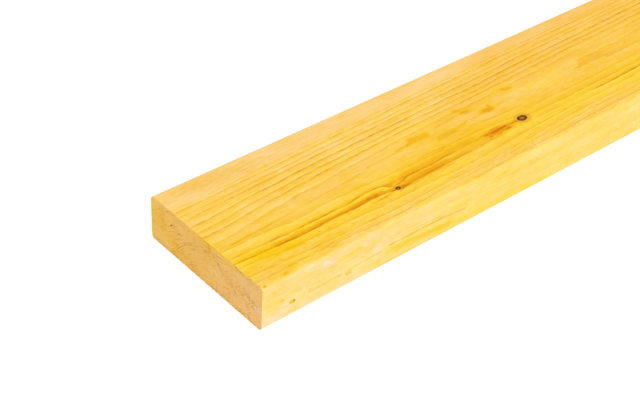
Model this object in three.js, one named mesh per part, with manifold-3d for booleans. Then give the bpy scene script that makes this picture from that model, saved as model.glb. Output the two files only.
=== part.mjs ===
// A softwood plank: one length of solid timber, planed on its four long faces, with its
// four long arrises eased, and sawn off square at both ends. It lies flat on its wide
// face. X runs along the grain, Y across the width and Z up through the thickness, and
// the origin is in the middle of the underside. Lengths are in millimetres.

import * as THREE from 'three';
import { mergeVertices, toCreasedNormals } from 'three/addons/utils/BufferGeometryUtils.js';
import Module from 'manifold-3d';

// The stock: its sawn length and its planed section.
const LENGTH = 1800;
const WIDTH = 150;
const THICKNESS = 45;
const ARRIS_RADIUS = 4;

// Small dead branches that come out on the top face, placed from the end at -X and the
// side at -Y. Each is a core of hard wood in a ring-shaped gap, where the bark round it
// has shrunk away. The core's face lies a little under the planed face, and its rim is
// rounded. The gap has straight walls below that rim, and then a round bottom.
const KNOTS = [
  {
    fromEnd: 173.5,
    fromSide: 32,
    length: 5,
    width: 4.2,
    coreSunk: 0.3,
    coreRim: 0.2,
    gapWidth: 0.8,
    gapWall: 0.6,
  },
  {
    fromEnd: 337,
    fromSide: 41.5,
    length: 10.5,
    width: 7.5,
    coreSunk: 0.25,
    coreRim: 0.25,
    gapWidth: 1.1,
    gapWall: 0.5,
  },
];

// A splinter lifted out of the side at -Y: a shallow scoop that runs in along the grain
// and stops at a steeper wall.
const CHIP = {
  fromEnd: 31.5,
  aboveUnderside: 15,
  length: 7.5,
  height: 4.2,
  depth: 1.1,
  slope: 0.14,
};

// How finely round forms are cut into facets, and how far a cutter stands clear of the
// face that it goes into.
const ARRIS_FACETS = 12;
const KNOT_FACETS = 32;
const PROFILE_FACETS = 3;
const CHIP_FACETS = 20;
const CUTTER_CLEARANCE = 1;
const CREASE_ANGLE = THREE.MathUtils.degToRad(40);

const wasm = await Module();
wasm.setup();

// The section across the grain: a rectangle with a quarter round at each corner. It is
// drawn with the width along X and the thickness along Y.
function sectionShape() {
  const side = WIDTH / 2;
  const r = ARRIS_RADIUS;
  const quarter = Math.PI / 2;
  const shape = new THREE.Shape();
  shape.moveTo(-side + r, 0);
  shape.lineTo(side - r, 0);
  shape.absarc(side - r, r, r, -quarter, 0);
  shape.lineTo(side, THICKNESS - r);
  shape.absarc(side - r, THICKNESS - r, r, 0, quarter);
  shape.lineTo(-side + r, THICKNESS);
  shape.absarc(-side + r, THICKNESS - r, r, quarter, 2 * quarter);
  shape.lineTo(-side, r);
  shape.absarc(-side + r, r, r, 2 * quarter, 3 * quarter);
  return shape;
}

// The planed length before its knots and its chip: the section run along the grain. The
// extrusion runs along Z, so it is turned to put its width on Y and its height on Z.
function stockGeometry() {
  const geometry = new THREE.ExtrudeGeometry(sectionShape(), {
    depth: LENGTH,
    bevelEnabled: false,
    curveSegments: ARRIS_FACETS,
  });
  geometry.rotateX(Math.PI / 2);
  geometry.rotateZ(Math.PI / 2);
  geometry.translate(-LENGTH / 2, 0, 0);
  return geometry;
}

// What a knot takes out of the top face, as a solid of revolution stretched to an oval:
// the ring-shaped gap, and the thin layer above the sunken core. The profile runs from
// the axis above the face round to the axis on the core's face.
function knotCutter(knot) {
  const outer = knot.width / 2;
  const core = outer - knot.gapWidth;
  const rimBottom = -knot.coreSunk - knot.coreRim;
  const wallBottom = rimBottom - knot.gapWall;
  const profile = new THREE.Path();
  profile.moveTo(0, CUTTER_CLEARANCE);
  profile.lineTo(outer, CUTTER_CLEARANCE);
  profile.lineTo(outer, wallBottom);
  profile.absarc((outer + core) / 2, wallBottom, knot.gapWidth / 2, 0, -Math.PI, true);
  profile.lineTo(core, rimBottom);
  profile.absarc(core - knot.coreRim, rimBottom, knot.coreRim, 0, Math.PI / 2);
  profile.lineTo(0, -knot.coreSunk);
  const points = profile.getPoints(PROFILE_FACETS).reverse();
  const geometry = new THREE.LatheGeometry(points, KNOT_FACETS);
  geometry.rotateX(Math.PI / 2);
  geometry.scale(knot.length / knot.width, 1, 1);
  geometry.translate(knot.fromEnd - LENGTH / 2, knot.fromSide - WIDTH / 2, THICKNESS);
  return geometry;
}

// What the lifted splinter takes out of the side: a flattened ball, tipped so that it
// bites deepest at its far end.
function chipCutter() {
  const geometry = new THREE.SphereGeometry(1, CHIP_FACETS, CHIP_FACETS / 2);
  geometry.scale(CHIP.length / 2, CHIP.depth, CHIP.height / 2);
  geometry.rotateZ(CHIP.slope);
  geometry.translate(CHIP.fromEnd - LENGTH / 2, -WIDTH / 2, CHIP.aboveUnderside);
  return geometry;
}

// A closed solid for joining and cutting, from a geometry whose seams are merged.
function toSolid(geometry) {
  const bare = geometry.clone();
  bare.deleteAttribute('normal');
  bare.deleteAttribute('uv');
  const welded = mergeVertices(bare);
  return new wasm.Manifold(new wasm.Mesh({
    numProp: 3,
    vertProperties: new Float32Array(welded.attributes.position.array),
    triVerts: new Uint32Array(welded.index.array),
  }));
}

// The solid back as a geometry, with its flat faces flat and its round ones smooth.
function toGeometry(solid) {
  const mesh = solid.getMesh();
  const geometry = new THREE.BufferGeometry();
  geometry.setAttribute('position', new THREE.BufferAttribute(mesh.vertProperties, 3));
  geometry.setIndex(new THREE.BufferAttribute(mesh.triVerts, 1));
  return toCreasedNormals(geometry, CREASE_ANGLE);
}

function plankGeometry() {
  let solid = toSolid(stockGeometry());
  for (const knot of KNOTS) {
    solid = solid.subtract(toSolid(knotCutter(knot)));
  }
  solid = solid.subtract(toSolid(chipCutter()));
  return toGeometry(solid);
}

const timber = new THREE.MeshStandardMaterial({
  name: 'planed softwood',
  color: 0xf7cf73,
  roughness: 0.62,
  metalness: 0,
});

const plank = new THREE.Mesh(plankGeometry(), timber);
plank.name = 'plank';

const timberPlank = new THREE.Group();
timberPlank.add(plank);

export default timberPlank;
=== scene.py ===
import math

import bmesh
import bpy
from mathutils import Matrix, Vector, noise


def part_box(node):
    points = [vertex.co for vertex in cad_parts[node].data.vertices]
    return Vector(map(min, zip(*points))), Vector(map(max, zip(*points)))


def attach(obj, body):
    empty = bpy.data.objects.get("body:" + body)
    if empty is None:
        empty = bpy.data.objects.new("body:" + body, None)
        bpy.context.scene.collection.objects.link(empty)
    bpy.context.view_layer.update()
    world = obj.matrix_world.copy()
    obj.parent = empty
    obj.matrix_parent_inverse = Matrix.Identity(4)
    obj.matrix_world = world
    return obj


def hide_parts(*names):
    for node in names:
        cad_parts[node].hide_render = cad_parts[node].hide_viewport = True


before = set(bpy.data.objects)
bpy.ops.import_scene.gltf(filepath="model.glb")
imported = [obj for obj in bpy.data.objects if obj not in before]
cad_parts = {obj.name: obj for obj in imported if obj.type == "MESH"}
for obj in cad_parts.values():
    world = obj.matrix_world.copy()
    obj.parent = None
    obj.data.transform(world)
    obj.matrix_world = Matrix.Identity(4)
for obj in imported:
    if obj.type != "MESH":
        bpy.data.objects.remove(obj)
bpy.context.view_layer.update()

# A length of planed softwood, lying flat. X runs along the grain, Y across the width and Z
# up through the thickness. Shapes are in metres. The wood's own pattern is worked out in
# millimetres, counted along the grain from the end at -X, across from the middle of the
# width, and up from the underside.
MM = 0.001

LOW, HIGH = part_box("plank")
LENGTH = HIGH.x - LOW.x
WIDTH = HIGH.y - LOW.y
THICKNESS = HIGH.z - LOW.z
ARRIS_RADIUS = 4 * MM

# How finely the stock is divided before its edges are worn and its knots are cut.
ARRIS_SEGMENTS = 7
ACROSS_STEP = 1.5 * MM
UP_STEP = 1.5 * MM
END_ZONE = 6 * MM
END_ZONE_STEP = 1 * MM
NEXT_ZONE = 36 * MM
NEXT_ZONE_STEP = 3 * MM
ALONG_STEP = 16 * MM

# How far apart two places may be and still count as one, how nearly a direction has to
# follow an axis to run along it or to face it, and the sharpest edge that is shaded round.
SLACK = 1e-6
ALONG_AXIS = 0.999
FACING_AXIS = 0.9
SMOOTH_UP_TO = math.radians(32)

# The slots of the piece's first two materials. Those of its recesses come after them.
LONG_FACES = 0
ENDS = 1

# The saw tears the wood a little along the rim of each end: how near to the rim, and how
# near to the end's plane. Then how much everywhere, how much more on the arrises and on the
# flats, and how closely and how widely it tears.
RIM_REACH = 0.2 * MM
END_SLACK = 0.1 * MM
RIM_EASE = 0.12 * MM
RIM_TEAR = 0.35 * MM
FLAT_TEAR = 0.8 * MM
TEARS_PER_MM = 0.42
TEAR_SPREAD = 0.15

# The dead branches that come out on the top face: the size of each, the shrinkage gap
# round it, how far its core lies under the planed face, and how pale the wood round it is.
KNOTS = (
    {
        "from_end": 173.5 * MM,
        "from_side": 32 * MM,
        "length": 5.0 * MM,
        "width": 4.2 * MM,
        "core_sunk": 0.3 * MM,
        "core_rim": 0.2 * MM,
        "gap_width": 0.8 * MM,
        "gap_depth": 1.2 * MM,
        "halo": 1.0,
    },
    {
        "from_end": 337 * MM,
        "from_side": 41.5 * MM,
        "length": 10.5 * MM,
        "width": 7.5 * MM,
        "core_sunk": 0.25 * MM,
        "core_rim": 0.25 * MM,
        "gap_width": 1.1 * MM,
        "gap_depth": 1.3 * MM,
        "halo": 0.4,
    },
)
KNOT_SIDES = 48
KNOT_RIM_SEGMENTS = 3
CUTTER_CLEARANCE = 1 * MM

# The splinter that is lifted out of the side at -Y, and how uneven it leaves the wood.
CHIP_FROM_END = 31.5 * MM
CHIP_ABOVE_UNDERSIDE = 15 * MM
CHIP_LENGTH = 7.5 * MM
CHIP_HEIGHT = 4.2 * MM
CHIP_DEPTH = 1.1 * MM
CHIP_SLOPE = 0.14
CHIP_SEGMENTS = 32
CHIP_UNEVENNESS = 0.25 * MM
CHIP_LUMPS_PER_MM = 0.9

# The map that patterns are baked through: the box that each part of the surface fills, from
# its lowest corner to its highest, and the gap left round it. The recesses are cut apart
# at edges sharper than an angle in radians, and laid out with a margin.
MAP_BOXES = {
    "long faces": (0.0, 0.0, 1.0, 0.75),
    "end at -X": (0.0, 0.75, 0.41, 1.0),
    "end at +X": (0.41, 0.75, 0.82, 1.0),
    "recesses": (0.82, 0.75, 1.0, 1.0),
}
MAP_GAP = 0.004
RECESS_ANGLE = 1.15
RECESS_MARGIN = 0.03

# The tree's growth rings, from the pith outwards: the radius at which each year ends, in
# millimetres, then how dark its late wood is on the side at -Y and on the side at +Y of
# the pith, and how broad that late wood is.
RING_START = 8.0
RINGS = (
    (12.5, 0.4, 0.4, 0.3),
    (17.5, 0.3, 0.3, 0.3),
    (22.0, 0.4, 0.4, 0.4),
    (26.0, 0.3, 0.3, 0.2),
    (30.5, 0.4, 0.4, 0.4),
    (34.0, 0.3, 0.3, 0.2),
    (38.0, 0.3, 0.3, 0.3),
    (41.5, 0.3, 0.3, 0.2),
    (46.0, 0.4, 0.4, 0.3),
    (49.5, 0.2, 0.3, 0.2),
    (53.0, 0.3, 0.4, 0.3),
    (57.0, 0.2, 0.3, 0.2),
    (59.0, 0.3, 0.5, 0.1),
    (61.3, 0.4, 1.0, 0.1),
    (63.6, 0.5, 0.8, 0.1),
    (66.2, 0.3, 0.4, 0.2),
    (67.4, 0.1, 0.1, 0.2),
    (70.2, 0.12, 0.16, 0.1),
    (72.6, 0.7, 0.36, 0.4),
    (75.0, 0.88, 0.3, 0.5),
    (77.9, 0.15, 0.55, 0.4),
    (81.9, 0.16, 0.36, 0.2),
    (84.7, 0.2, 0.3, 0.2),
    (88.6, 0.2, 0.36, 0.2),
    (91.4, 0.2, 0.24, 0.2),
    (93.8, 0.15, 0.08, 0.1),
    (96.5, 0.12, 0.03, 0.1),
    (100.0, 0.15, 0.04, 0.1),
    (103.5, 0.15, 0.03, 0.1),
    (107.0, 0.15, 0.03, 0.1),
    (111.0, 0.15, 0.03, 0.1),
    (116.0, 0.15, 0.03, 0.1),
)

# The pith lies under the plank and runs at a slight slant to it. Millimetres, and
# millimetres for each millimetre along. On its side at -Y, distances across count for less,
# so the rings are wider apart there.
PITH_ACROSS = -11.9
PITH_ACROSS_SLANT = 0.0192
PITH_UP = -24.4
PITH_UP_SLANT = 0.0045
WIDE_SIDE = 0.88

# How far from the pith its two sides blend, how far the rings drift across and up, how
# high their ripples are, and the radius where fibres keep their breadth. Then how sharply
# narrow late wood and broad late wood set in.
SIDES_BLEND = 15.0
RING_DRIFT_ACROSS = 2.4
RING_DRIFT_UP = 1.4
RING_RIPPLE = 0.8
FIBRE_RADIUS = 70.0
LATE_WOOD_SHARPNESS = (8.5, 1.8)

# Where the rings stand proud of true rounds, as over a branch hidden in the wood, or short
# of them: the middle, the reach along each axis, and how far.
SWELLINGS = (
    ((150, -78, 20), (45, 18, 26), 4.4),
    ((0, 12, 45), (50, 13, 14), -2.0),
    ((0, -44, 45), (60, 9, 14), -1.1),
    ((8, -52, 45), (28, 6, 14), -2.0),
    ((262, -57, 45), (50, 7, 14), 2.4),
    ((118, -44, 45), (24, 4, 14), -0.45),
    ((150, -36, 45), (15, 6, 14), -1.15),
)

# The same beside each knot, from the knot's own length and width.
KNOT_SWELLING = 1.4
KNOT_SWELLING_ASIDE = 1.15
KNOT_SWELLING_ALONG = 1.2
KNOT_SWELLING_MORE = 3.0
KNOT_SWELLING_ACROSS = 0.62
KNOT_SWELLING_DEEP = 30.0

# How far under the top face a branch begins, and how uneven its outline is.
KNOT_ROOT_DEPTH = 70.0
KNOT_WOBBLE = 0.35
KNOT_WOBBLES_PER_MM = 0.45


# Marks on the wood, in the pattern's millimetres: where each starts and where it ends on
# its face, its half width and its strength. Streaks run out long along the grain, and
# patches and dabs less so.
STREAK_ALONG = 0.3
PATCH_ALONG = 0.6


def on_top(x, y):
    """A place on the top face."""
    return (x, y, THICKNESS / MM)


def on_side(x, z):
    """A place on the side at -Y."""
    return (x, -WIDTH / MM / 2, z)


def on_end(y, z):
    """A place on the end at -X."""
    return (0.0, y, z)


def placed(face, *marks):
    """Marks on one face, with the start and the end of each as a place in the wood."""
    return [(face(*mark[:2]), face(*mark[2:4]), *mark[4:]) for mark in marks]


# Orange resin in the wood.
RESIN_STREAKS = placed(
    on_top,
    (177.5, -44.6, 186, -44.4, 1.6, 1.2),
    (180, -43.4, 226, -42.6, 3.4, 0.66),
    (184, -40, 230, -39, 3.6, 0.42),
    (222, -42, 258, -41, 4, 0.34),
    (255, -41, 292, -39.5, 4, 0.26),
    (190, -33, 262, -31, 5.5, 0.25),
    (100, -40.4, 150, -39.4, 3.4, 0.42),
    (46, -39.8, 105, -40.4, 3.2, 0.4),
    (150, -46, 166, -45, 1.6, 0.3),
    (150, -39, 168, -41.2, 2, 0.4),
    (186, -36.9, 200, -34.2, 1.6, 0.35),
    (262, -36.5, 290, -35.6, 3.8, 0.26),
    (172, -5.4, 208, -4.2, 0.9, 0.24),
) + placed(
    on_side,
    (150, 14, 200, 11, 4.4, 0.18),
)
RESIN_PATCHES = placed(
    on_top,
    (294, -35, 308, -34.2, 5.2, 0.8),
    (298, -34.4, 306, -33.8, 3, 1.4),
    (290, -34, 292, -33.6, 1.8, 0.9),
    (311.5, -33.2, 314, -32.8, 3, 1.1),
    (318, -34.6, 328, -34, 3.4, 0.45),
    (209, -3.2, 214, -3, 1.8, 0.3),
    (226, -1.4, 246, -0.6, 3, 0.3),
    (230, 2.2, 236, 2.4, 3.2, 0.28),
    (293.4, 12, 294.6, 11.6, 2.6, 0.3),
    (299, 5.4, 302.4, 5, 2.8, 0.4),
    (318.5, -4.6, 323, -5, 3.6, 0.55),
    (325.4, 0.2, 326, -3, 1.4, 0.3),
    (357, 9.4, 361, 8.8, 2.2, 0.36),
)

# Golden places, where the wood holds back more blue.
GOLD_STREAKS = placed(
    on_top,
    (14, -38, 60, -45, 6, 0.8),
    (36, -48.5, 62, -51.5, 1.6, 0.9),
    (28, -70, 50, -66, 4, 0.4),
    (190, -30, 300, -28, 5, 0.4),
    (60, -38.5, 95, -38.5, 2.2, 0.5),
    (80, -34, 168, -38, 6, 0.55),
    (250, -22, 330, -24, 8, 0.45),
    (12, -17.8, 66, -15.2, 1, 0.9),
) + placed(
    on_side,
    (84, 32, 102, 35, 2.2, 0.7),
    (17, 22, 24, 22, 1.6, 0.6),
    (216, 25, 226, 25, 1.6, 0.7),
    (146, 15, 205, 11, 5, 0.65),
    (208, 7, 330, 6, 4.6, 0.6),
    (262, 36, 276, 36, 1.6, 0.6),
    (244, 27, 280, 26, 5, 0.15),
)
GOLD_PATCHES = placed(
    on_top,
    (22, -43, 42, -47, 6.5, 1.3),
    (44, -47, 58, -48, 4.5, 1.2),
    (70, -63, 92, -62, 6, 0.6),
    (34, -66, 44, -66, 4.5, 0.5),
    (208, -3.2, 224, -2.4, 2.6, 0.9),
    (226, -0.6, 248, 0, 3.8, 1),
    (230, 2.6, 238, 2.6, 3.6, 0.9),
    (254, -11.4, 286, -10, 4, 0.9),
    (292, 13, 303, 5, 4.4, 0.9),
    (317, -3.6, 324, -5, 4.6, 1.2),
    (352, 13, 362, 8, 5, 0.7),
)

# Dark grain apart from the rings: lines, and dabs. One dab is on an arris.
GRAIN_STREAKS = placed(
    on_top,
    (15, -17.9, 66, -15.2, 0.8, 0.5),
    (66, -15.2, 150, -9.6, 0.7, 0.3),
    (150, -9.6, 172, -5.6, 0.7, 0.2),
    (218, -22.4, 246, -23, 1, 0.35),
    (266, -23.2, 292, -22.8, 0.9, 0.3),
    (262, 3.2, 296, 5.4, 0.9, 0.26),
    (286, -6, 316, -6.2, 0.9, 0.3),
    (328, -5.2, 354, -3.6, 0.9, 0.25),
    (288, -12.8, 311, -16.6, 0.9, 0.3),
    (311, -16.6, 350, -18.2, 0.9, 0.3),
    (36, -48.9, 62, -51.5, 0.7, 0.5),
    (42, 64, 84, 59, 9, 0.24),
    (177, -37.5, 185, -38, 0.8, 0.8),
    (170.6, -43.8, 168.8, -43.6, 0.8, 3),
    (175.2, -46.2, 176.2, -46.2, 0.8, 2),
    (178.4, -43.8, 181, -44, 1.4, 0.9),
    (152, -46, 157, -46.2, 0.9, 0.9),
    (312, -37, 317, -37.2, 1.1, 0.9),
    (316, -31.8, 330, -33.6, 1, 1.1),
) + placed(
    on_side,
    (50, 16, 82, 16.6, 0.7, 0.5),
    (92, 17.6, 128, 18.8, 0.7, 0.4),
    (138, 20.8, 170, 21.6, 0.9, 0.7),
    (174, 21.4, 196, 20.8, 0.9, 0.85),
    (196, 20.8, 226, 18, 0.9, 0.65),
)
CORNER_DAB = ((3.8, -73.4, 44.6), (4.2, -73.4, 44.6), 0.8, 1.5)
GRAIN_DABS = placed(
    on_top,
    (62, -61, 70, -61.4, 1.2, 0.35),
    (74, -65.4, 82, -64.6, 1.3, 0.45),
    (76, -69, 84, -69.4, 1, 0.4),
    (34, -66.8, 42, -67.2, 1, 0.4),
    (26, -72, 32, -72.2, 1, 0.35),
    (120, -63.2, 132, -63.4, 1, 0.3),
    (218, -2.8, 222, -2.6, 1.6, 0.45),
    (255, -11.4, 270, -10.8, 3.8, 0.42),
    (280, -9, 286, -8.6, 1.8, 0.4),
    (356, 12.2, 357, 12, 1.6, 0.3),
    (292.5, -37.5, 294, -37.7, 1.6, 1),
    (297, -38.2, 304, -38, 1.2, 0.5),
    (298.5, -29.9, 301, -29.7, 0.9, 0.9),
    (307, -37, 309, -36.8, 0.9, 0.6),
    (314.6, -37, 316, -37.2, 1.7, 1.5),
    (309, -34.6, 310, -34.6, 0.9, 0.8),
) + placed(
    on_side,
    (6, 29.8, 7, 30, 0.6, 0.5),
    (11.5, 34.5, 12.5, 34.8, 0.6, 0.5),
    (20.5, 21.6, 21.5, 21.8, 0.8, 0.6),
    (4.5, 23, 5.5, 23.2, 0.5, 0.5),
    (39, 23.2, 41, 23.6, 0.6, 0.5),
    (46, 23.2, 47, 23.4, 0.5, 0.5),
    (50, 18.2, 52, 18.5, 0.6, 0.5),
    (90, 14.4, 93, 13.8, 1.8, 0.55),
) + [CORNER_DAB]

# Where the late wood is faint.
FAINT_STREAKS = placed(
    on_top,
    (254, -33.6, 284, -33.6, 2.6, 0.75),
    (352, -33.6, 520, -33.4, 3.4, 0.75),
    (173, -39.4, 183, -37.4, 2.2, 0.45),
    (184, -43.2, 258, -42, 3.6, 0.55),
    (284, -33.2, 330, -33.2, 3.6, 0.55),
    (154, -41.5, 170, -43, 2.6, 0.5),
    (266, -40.6, 420, -40.4, 3.4, 0.9),
    (0, -32, 34, -33, 3.4, 0.6),
    (0, 16, 40, 20, 14, 0.45),
    (0, 40, 36, 43, 14, 0.35),
    (0, -10, 34, -10, 8, 0.6),
    (190, -15, 420, -17, 7, 0.6),
)

# Paler places.
PALE_PATCHES = placed(
    on_top,
    (256, -44, 296, -42, 9, 0.65),
    (85, -62, 160, -60, 12, 0.15),
    (125, 4, 178, 6, 12, 0.18),
    (195, 34, 230, 34, 14, 0.15),
) + placed(
    on_side,
    (66.5, 36.8, 69.5, 36.4, 4.2, 1.15),
    (3, 8, 24, 8, 8, 0.45),
    (125, 29, 178, 30, 7, 0.12),
    (130, 38, 235, 37, 6, 0.12),
)

# The end at -X: a check and torn spots, pale places and golden ones.
END_STREAKS = placed(
    on_end,
    (-4.8, 43.6, -8.2, 37.4, 0.7, 0.5),
    (-8.2, 37.4, -18.4, 32.6, 0.4, 0.5),
    (-18, 32.8, -19.4, 31.2, 0.8, 1),
    (-20, 30, -24.6, 25.6, 0.5, 0.4),
    (-24.2, 26.2, -25.8, 25.2, 0.7, 0.7),
    (-26, 24.8, -37.4, 22.2, 0.7, 0.25),
    (-39.6, 18, -41.2, 17.2, 1, 0.9),
    (-40.2, 22, -41.4, 19, 0.5, 0.4),
    (45, 31.8, 46.6, 30.4, 0.9, 1.7),
    (51, 26.4, 47, 29.6, 0.5, 0.6),
    (44.8, 32.2, 39, 34.8, 0.5, 0.5),
    (42.4, 31.2, 40.6, 32.8, 0.5, 0.7),
    (36.4, 27.4, 33.4, 29.6, 0.8, 0.9),
    (33, 27.4, 28.4, 31.8, 0.5, 0.6),
    (38.4, 21, 32, 25.4, 0.5, 0.5),
    (23.4, 14.4, 18.6, 18.2, 0.7, 0.5),
    (20.4, 22.4, 12.6, 26.4, 0.6, 0.6),
    (28.4, 22.2, 16.6, 30.4, 0.6, 0.5),
    (65.4, 36.6, 62, 39, 0.5, 0.4),
    (69.4, 28.6, 66, 32, 0.6, 0.3),
    (23, 39.6, 20.4, 42, 0.5, 0.5),
    (22, 4.6, 12, 10.6, 0.6, 0.5),
    (-11.6, 18.8, -13.4, 16.8, 0.8, 0.6),
    (-55.6, 26.4, -59.6, 25.4, 0.6, 0.6),
    (-59.8, 25, -58.8, 22.2, 0.6, 0.7),
    (-56, 24.4, -58, 22.2, 0.6, 0.5),
    (-51.8, 29.6, -53.6, 28.4, 0.7, 0.6),
    (-62, 20.6, -65.6, 24.8, 0.6, 0.4),
    (-41, 43.9, -44.4, 43.2, 0.7, 0.9),
    (-45.2, 43.2, -48.4, 43, 0.7, 0.8),
    (-49.6, 42.6, -51.6, 42.4, 0.5, 0.6),
    (-11, 37.8, -22, 39.8, 0.5, 0.6),
    (-12, 39.8, -42, 40.6, 0.5, 0.5),
    (-9, 36.2, -24, 36.6, 0.5, 0.4),
)
END_PALE_STREAKS = placed(
    on_end,
    (-75, 27, -66, 19.5, 1, 0.6),
    (-72, 20, -58, 8, 2.2, 0.5),
    (-68, 14, -63, 9, 0.8, 0.5),
    (-10.4, 20, -14.6, 22, 0.8, 0.6),
)
END_GOLD_STREAKS = placed(
    on_end,
    (-4, 44, -8, 37, 1.5, 1),
    (8, 44.8, -26, 44.8, 2.4, 0.9),
    (-8, 36, -30, 16, 16, 0.09),
    (-40, 40, -68, 38, 6, 0.1),
    (66, 30, 40, 14, 16, 0.3),
    (75, 40, 73, 4, 4, 0.55),
    (-24, 40.6, -38, 38.6, 2.2, 0.5),
    (-38, 43.4, -52, 42.6, 2, 0.5),
    (-75, 38, -74, 30, 2, 0.6),
    (-60, 12, -66, 9, 3, 0.3),
    (-38, 2.4, -56, 2.2, 2, 0.35),
)

# Colours as a screen shows them. Where there are two, a fine pattern mixes them.
END_DIRT = (186, 158, 0)
KNOT_STAIN = (216, 136, 14)
KNOT_HALO = (240, 176, 100)
SOUND_BARK = (120, 66, 18)
SOUND_CORE = (160, 112, 66)
GAP_BARK = ((58, 22, 2), (122, 58, 8))
GAP_OUTER_WALL = (214, 138, 40)
DEAD_WOOD = ((204, 148, 44), (128, 80, 12))
DEAD_WOOD_RIM = (92, 52, 12)
TORN_WOOD = ((232, 190, 8), (252, 222, 56))
# The chip's far wall is painted shade: an even, darker gold than the torn fibres, where the wall
# faces away from the light.
TORN_WALL_PAINTED_SHADE = (232, 192, 8)

# What a unit of depth, of shade and of resin takes out of red, of green and of blue light.
LIGHT_LOST = ((0.12, 0.36, 0.22), (0.9, 0.9, 0.9), (4.1, 3.9, 4.6))
LEAST_DEPTH = 0.05

# The soft noises on the long faces: the size of their cells along each axis, then how
# detailed, how rough and how twisted they are.
SOFT_NOISES = {
    "clouds": ((40, 13, 13), 3.0, 0.55),
    "warm": ((28, 10, 10), 3.0, 0.6, 0.8),
    "dabs": ((8, 2.4, 2.4), 2.0, 0.6),
    "mottled": ((16, 8, 8), 3.0, 0.6),
    "blots": ((15, 7, 7), 3.0, 0.6, 1.0),
    "specks": ((2.4, 1.1, 1.1), 1.0),
}

# What stirs the depth and the gold of the long faces either way: a noise, how far it does,
# and the area where it does.
DEPTH_SWINGS = (
    ("bands", 0.05, "textured"),
    ("fine", 0.05, "textured"),
    ("dabs", 0.035, "textured"),
    ("specks", 0.02, "everywhere"),
    ("mottled", 0.035, "patchy"),
    ("dabs", 0.02, "side"),
)
GOLD_SWINGS = (("mottled", 0.28, "patchy"), ("dabs", 0.2, "calm"))

# What each area and each kind of mark adds to the depth and the gold of the long faces,
# and to the depth, the gold and the dirt of the ends.
DEPTH_SHARES = {
    # The sides' lower depth paints them paler: partly paler wood, and partly painted light for
    # the stronger light and reflection on the lit side.
    "side": -0.16,
    "amber": 0.085,
    "blotched": 0.03,
    "outer": -0.01,
    "foot": -0.05,
    "early": -0.055,
    "gold": 0.03,
    "pale": -0.05,
}
GOLD_SHARES = {
    "golden": 0.78,
    "far half": -0.2,
    "near edge": -0.1,
    "outer": -0.45,
    "amber": -0.06,
    "blotched": 0.25,
    "foot": 0.1,
    "gold": 1.0,
    "pale": -0.6,
}
# On the ends, lifted lightens the edge just outside each clear ring: partly early wood, and
# partly a painted highlight.
END_DEPTH_SHARES = {"middle": 0.05, "foot": 0.12, "pale": -0.18, "lifted": -0.18, "brow": -0.1}
# On the ends, the brow's shares paint a highlight along the top rim, lighter and more golden.
END_GOLD_SHARES = {"middle": 0.12, "gold": 1.4, "brow": 0.7, "pale": 0.1}
END_DIRT_SHARES = {
    "blots": 0.13,
    "scratches": 0.64,
    "late wood": 0.4,
    "tufts": 0.55,
    "scores": 0.3,
    "pores": 0.12,
    "foot": 0.36,
}

# The ring that shows best on the ends, and how far the saw's stroke is turned there.
CLEAREST_RING = 61.3
SAW_STROKE = math.radians(36)

# How rough and how shiny the wood is, and how high the fine relief of each surface is.
EARLY_ROUGHNESS = 0.6
LATE_ROUGHNESS = 0.5
BROKEN_ROUGHNESS = 0.8
BARK_ROUGHNESS = 0.95
DRY_SHINE = 0.05
TORN_SHINE = 0.2
PLANED_RELIEF = 0.1 * MM
SAWN_RELIEF = 0.25 * MM
BARK_RELIEF = 0.2 * MM
KNOT_RELIEF = 0.15 * MM
TORN_RELIEF = 0.25 * MM


def paint(colour):
    """A screen colour as the linear colour that a shader works with."""
    shares = [value / 255 for value in colour]
    linear = [((v + 0.055) / 1.055) ** 2.4 if v > 0.04045 else v / 12.92 for v in shares]
    return (*linear, 1.0)


# ---- Writing shader nodes ----

NODE_SPACING = 180
FLOAT = "NodeSocketFloat"
VECTOR = "NodeSocketVector"
COLOUR = "NodeSocketColor"


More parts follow.
